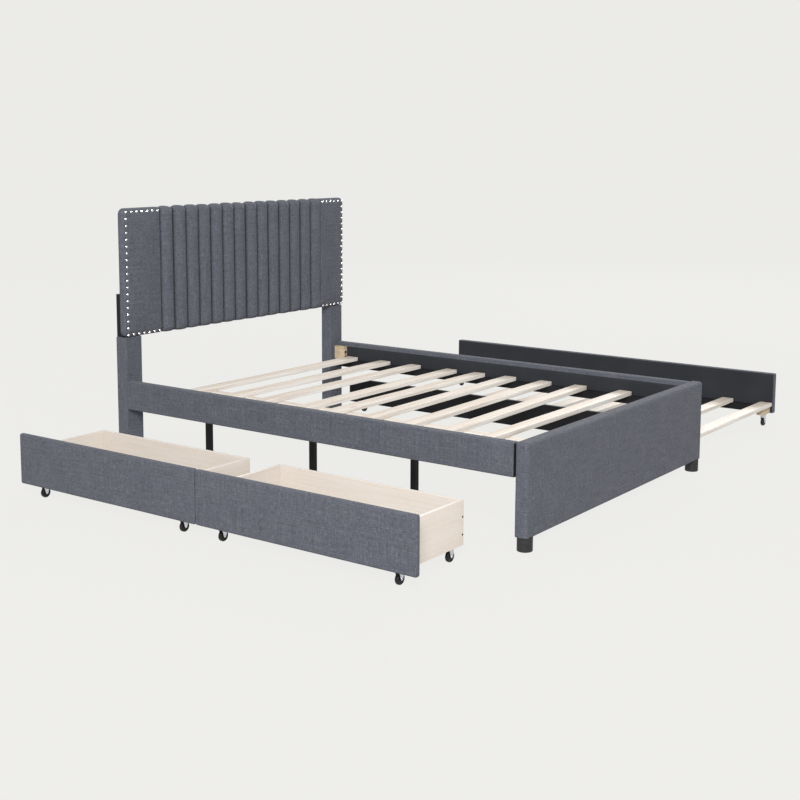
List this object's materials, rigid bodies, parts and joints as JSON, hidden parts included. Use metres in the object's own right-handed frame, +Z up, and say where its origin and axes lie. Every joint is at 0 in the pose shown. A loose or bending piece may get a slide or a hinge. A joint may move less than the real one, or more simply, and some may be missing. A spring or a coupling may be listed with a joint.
{
  "type": "platform bed",
  "caption": "Full-size upholstered platform bed with a fluted, nail-trimmed headboard, pine slats, rolling storage drawers and a pull-out trundle.",
  "frame": {"origin": "on the floor under the middle of the whole footprint, with the drawers and the trundle pulled out as packed; the middle of the bed frame itself is at (-0.2695, -0.004)", "axes": "+Z up, +Y towards the headboard, +X towards the trundle side; the drawers pull out along -X"},
  "size_m": [3.133, 2.0339, 1.114],
  "materials": {
    "slate_linen": "matte woven linen-look polyester over thin foam",
    "black_cloth": "matte non-woven lining",
    "black_wood": "satin black",
    "board_core": "raw fibreboard",
    "pine": "planed, unvarnished",
    "block_pine": "sawn, unvarnished",
    "plywood": "sanded, clear matt",
    "nail_silver": "bright nickel",
    "zinc_steel": "zinc plated",
    "black_wheel": "satin moulded",
    "black_plastic": "moulded"
  },
  "bodies": {
    "bed_frame": {"bed_slats": "pine", "centre_beam": "pine", "corner_blocks": "block_pine", "floor_glides": "black_plastic", "footboard_board": "board_core", "footboard_cover": "slate_linen", "footboard_feet": "black_plastic", "frame_bolts": "zinc_steel", "headboard_board": "board_core", "headboard_channel_cushion": "slate_linen", "headboard_leg_left": "black_wood", "headboard_leg_right": "black_wood", "headboard_nails": "nail_silver", "headboard_side_pad_left": "slate_linen", "headboard_side_pad_right": "slate_linen", "leg_cover_left": "slate_linen", "leg_cover_right": "slate_linen", "lining_cloths": "black_cloth", "rail_cover_left": "slate_linen", "rail_cover_right": "slate_linen", "side_rail_left": "black_wood", "side_rail_right": "black_wood", "slat_ledgers": "black_wood", "support_legs": "black_wood"},
    "drawer_left": {"drawer_left_back": "plywood", "drawer_left_caster_forks": "zinc_steel", "drawer_left_floor": "plywood", "drawer_left_front_board": "board_core", "drawer_left_front_cover": "slate_linen", "drawer_left_screws": "zinc_steel", "drawer_left_side_far": "plywood", "drawer_left_side_near": "plywood"},
    "drawer_right": {"drawer_right_back": "plywood", "drawer_right_caster_forks": "zinc_steel", "drawer_right_floor": "plywood", "drawer_right_front_board": "board_core", "drawer_right_front_cover": "slate_linen", "drawer_right_screws": "zinc_steel", "drawer_right_side_far": "plywood", "drawer_right_side_near": "plywood"},
    "trundle": {"trundle_bolts": "zinc_steel", "trundle_caster_forks": "zinc_steel", "trundle_corner_blocks": "block_pine", "trundle_ledgers": "black_wood", "trundle_panel_board": "black_wood", "trundle_panel_cover": "slate_linen", "trundle_rear_board": "black_wood", "trundle_slats": "pine"},
    "drawer_left_wheel_front_far": {"drawer_left_wheel_front_far": "black_wheel"},
    "drawer_left_wheel_front_near": {"drawer_left_wheel_front_near": "black_wheel"},
    "drawer_left_wheel_rear_far": {"drawer_left_wheel_rear_far": "black_wheel"},
    "drawer_left_wheel_rear_near": {"drawer_left_wheel_rear_near": "black_wheel"},
    "drawer_right_wheel_front_far": {"drawer_right_wheel_front_far": "black_wheel"},
    "drawer_right_wheel_front_near": {"drawer_right_wheel_front_near": "black_wheel"},
    "drawer_right_wheel_rear_far": {"drawer_right_wheel_rear_far": "black_wheel"},
    "drawer_right_wheel_rear_near": {"drawer_right_wheel_rear_near": "black_wheel"},
    "trundle_wheel_front_foot": {"trundle_wheel_front_foot": "black_wheel"},
    "trundle_wheel_front_head": {"trundle_wheel_front_head": "black_wheel"},
    "trundle_wheel_rear_foot": {"trundle_wheel_rear_foot": "black_wheel"},
    "trundle_wheel_rear_head": {"trundle_wheel_rear_head": "black_wheel"}
  },
  "joints": [
    {"name": "drawer_left_slide", "type": "slide", "parent": "bed_frame", "child": "drawer_left", "axis": [1, 0, 0], "range_m": [0, 0.565]},
    {"name": "drawer_right_slide", "type": "slide", "parent": "bed_frame", "child": "drawer_right", "axis": [1, 0, 0], "range_m": [0, 0.565]},
    {"name": "trundle_slide", "type": "slide", "parent": "bed_frame", "child": "trundle", "axis": [1, 0, 0], "range_m": [-1.104, 0]},
    {"name": "drawer_left_wheel_front_near_spin", "type": "hinge", "parent": "drawer_left", "child": "drawer_left_wheel_front_near", "pos_m": [-1.5075, 0.108, 0.02], "axis": [0, 1, 0], "continuous": true},
    {"name": "drawer_left_wheel_front_far_spin", "type": "hinge", "parent": "drawer_left", "child": "drawer_left_wheel_front_far", "pos_m": [-1.5075, 0.876, 0.02], "axis": [0, 1, 0], "continuous": true},
    {"name": "drawer_left_wheel_rear_near_spin", "type": "hinge", "parent": "drawer_left", "child": "drawer_left_wheel_rear_near", "pos_m": [-1.2245, 0.108, 0.02], "axis": [0, 1, 0], "continuous": true},
    {"name": "drawer_left_wheel_rear_far_spin", "type": "hinge", "parent": "drawer_left", "child": "drawer_left_wheel_rear_far", "pos_m": [-1.2245, 0.876, 0.02], "axis": [0, 1, 0], "continuous": true},
    {"name": "drawer_right_wheel_front_near_spin", "type": "hinge", "parent": "drawer_right", "child": "drawer_right_wheel_front_near", "pos_m": [-1.5075, -0.084, 0.02], "axis": [0, 1, 0], "continuous": true},
    {"name": "drawer_right_wheel_front_far_spin", "type": "hinge", "parent": "drawer_right", "child": "drawer_right_wheel_front_far", "pos_m": [-1.5075, -0.852, 0.02], "axis": [0, 1, 0], "continuous": true},
    {"name": "drawer_right_wheel_rear_near_spin", "type": "hinge", "parent": "drawer_right", "child": "drawer_right_wheel_rear_near", "pos_m": [-1.2245, -0.084, 0.02], "axis": [0, 1, 0], "continuous": true},
    {"name": "drawer_right_wheel_rear_far_spin", "type": "hinge", "parent": "drawer_right", "child": "drawer_right_wheel_rear_far", "pos_m": [-1.2245, -0.852, 0.02], "axis": [0, 1, 0], "continuous": true},
    {"name": "trundle_wheel_front_head_spin", "type": "hinge", "parent": "trundle", "child": "trundle_wheel_front_head", "pos_m": [1.4925, 0.895, 0.02], "axis": [0, 1, 0], "continuous": true},
    {"name": "trundle_wheel_front_foot_spin", "type": "hinge", "parent": "trundle", "child": "trundle_wheel_front_foot", "pos_m": [1.4925, -0.903, 0.02], "axis": [0, 1, 0], "continuous": true},
    {"name": "trundle_wheel_rear_head_spin", "type": "hinge", "parent": "trundle", "child": "trundle_wheel_rear_head", "pos_m": [0.5725, 0.895, 0.02], "axis": [0, 1, 0], "continuous": true},
    {"name": "trundle_wheel_rear_foot_spin", "type": "hinge", "parent": "trundle", "child": "trundle_wheel_rear_foot", "pos_m": [0.5725, -0.903, 0.02], "axis": [0, 1, 0], "continuous": true}
  ]
}
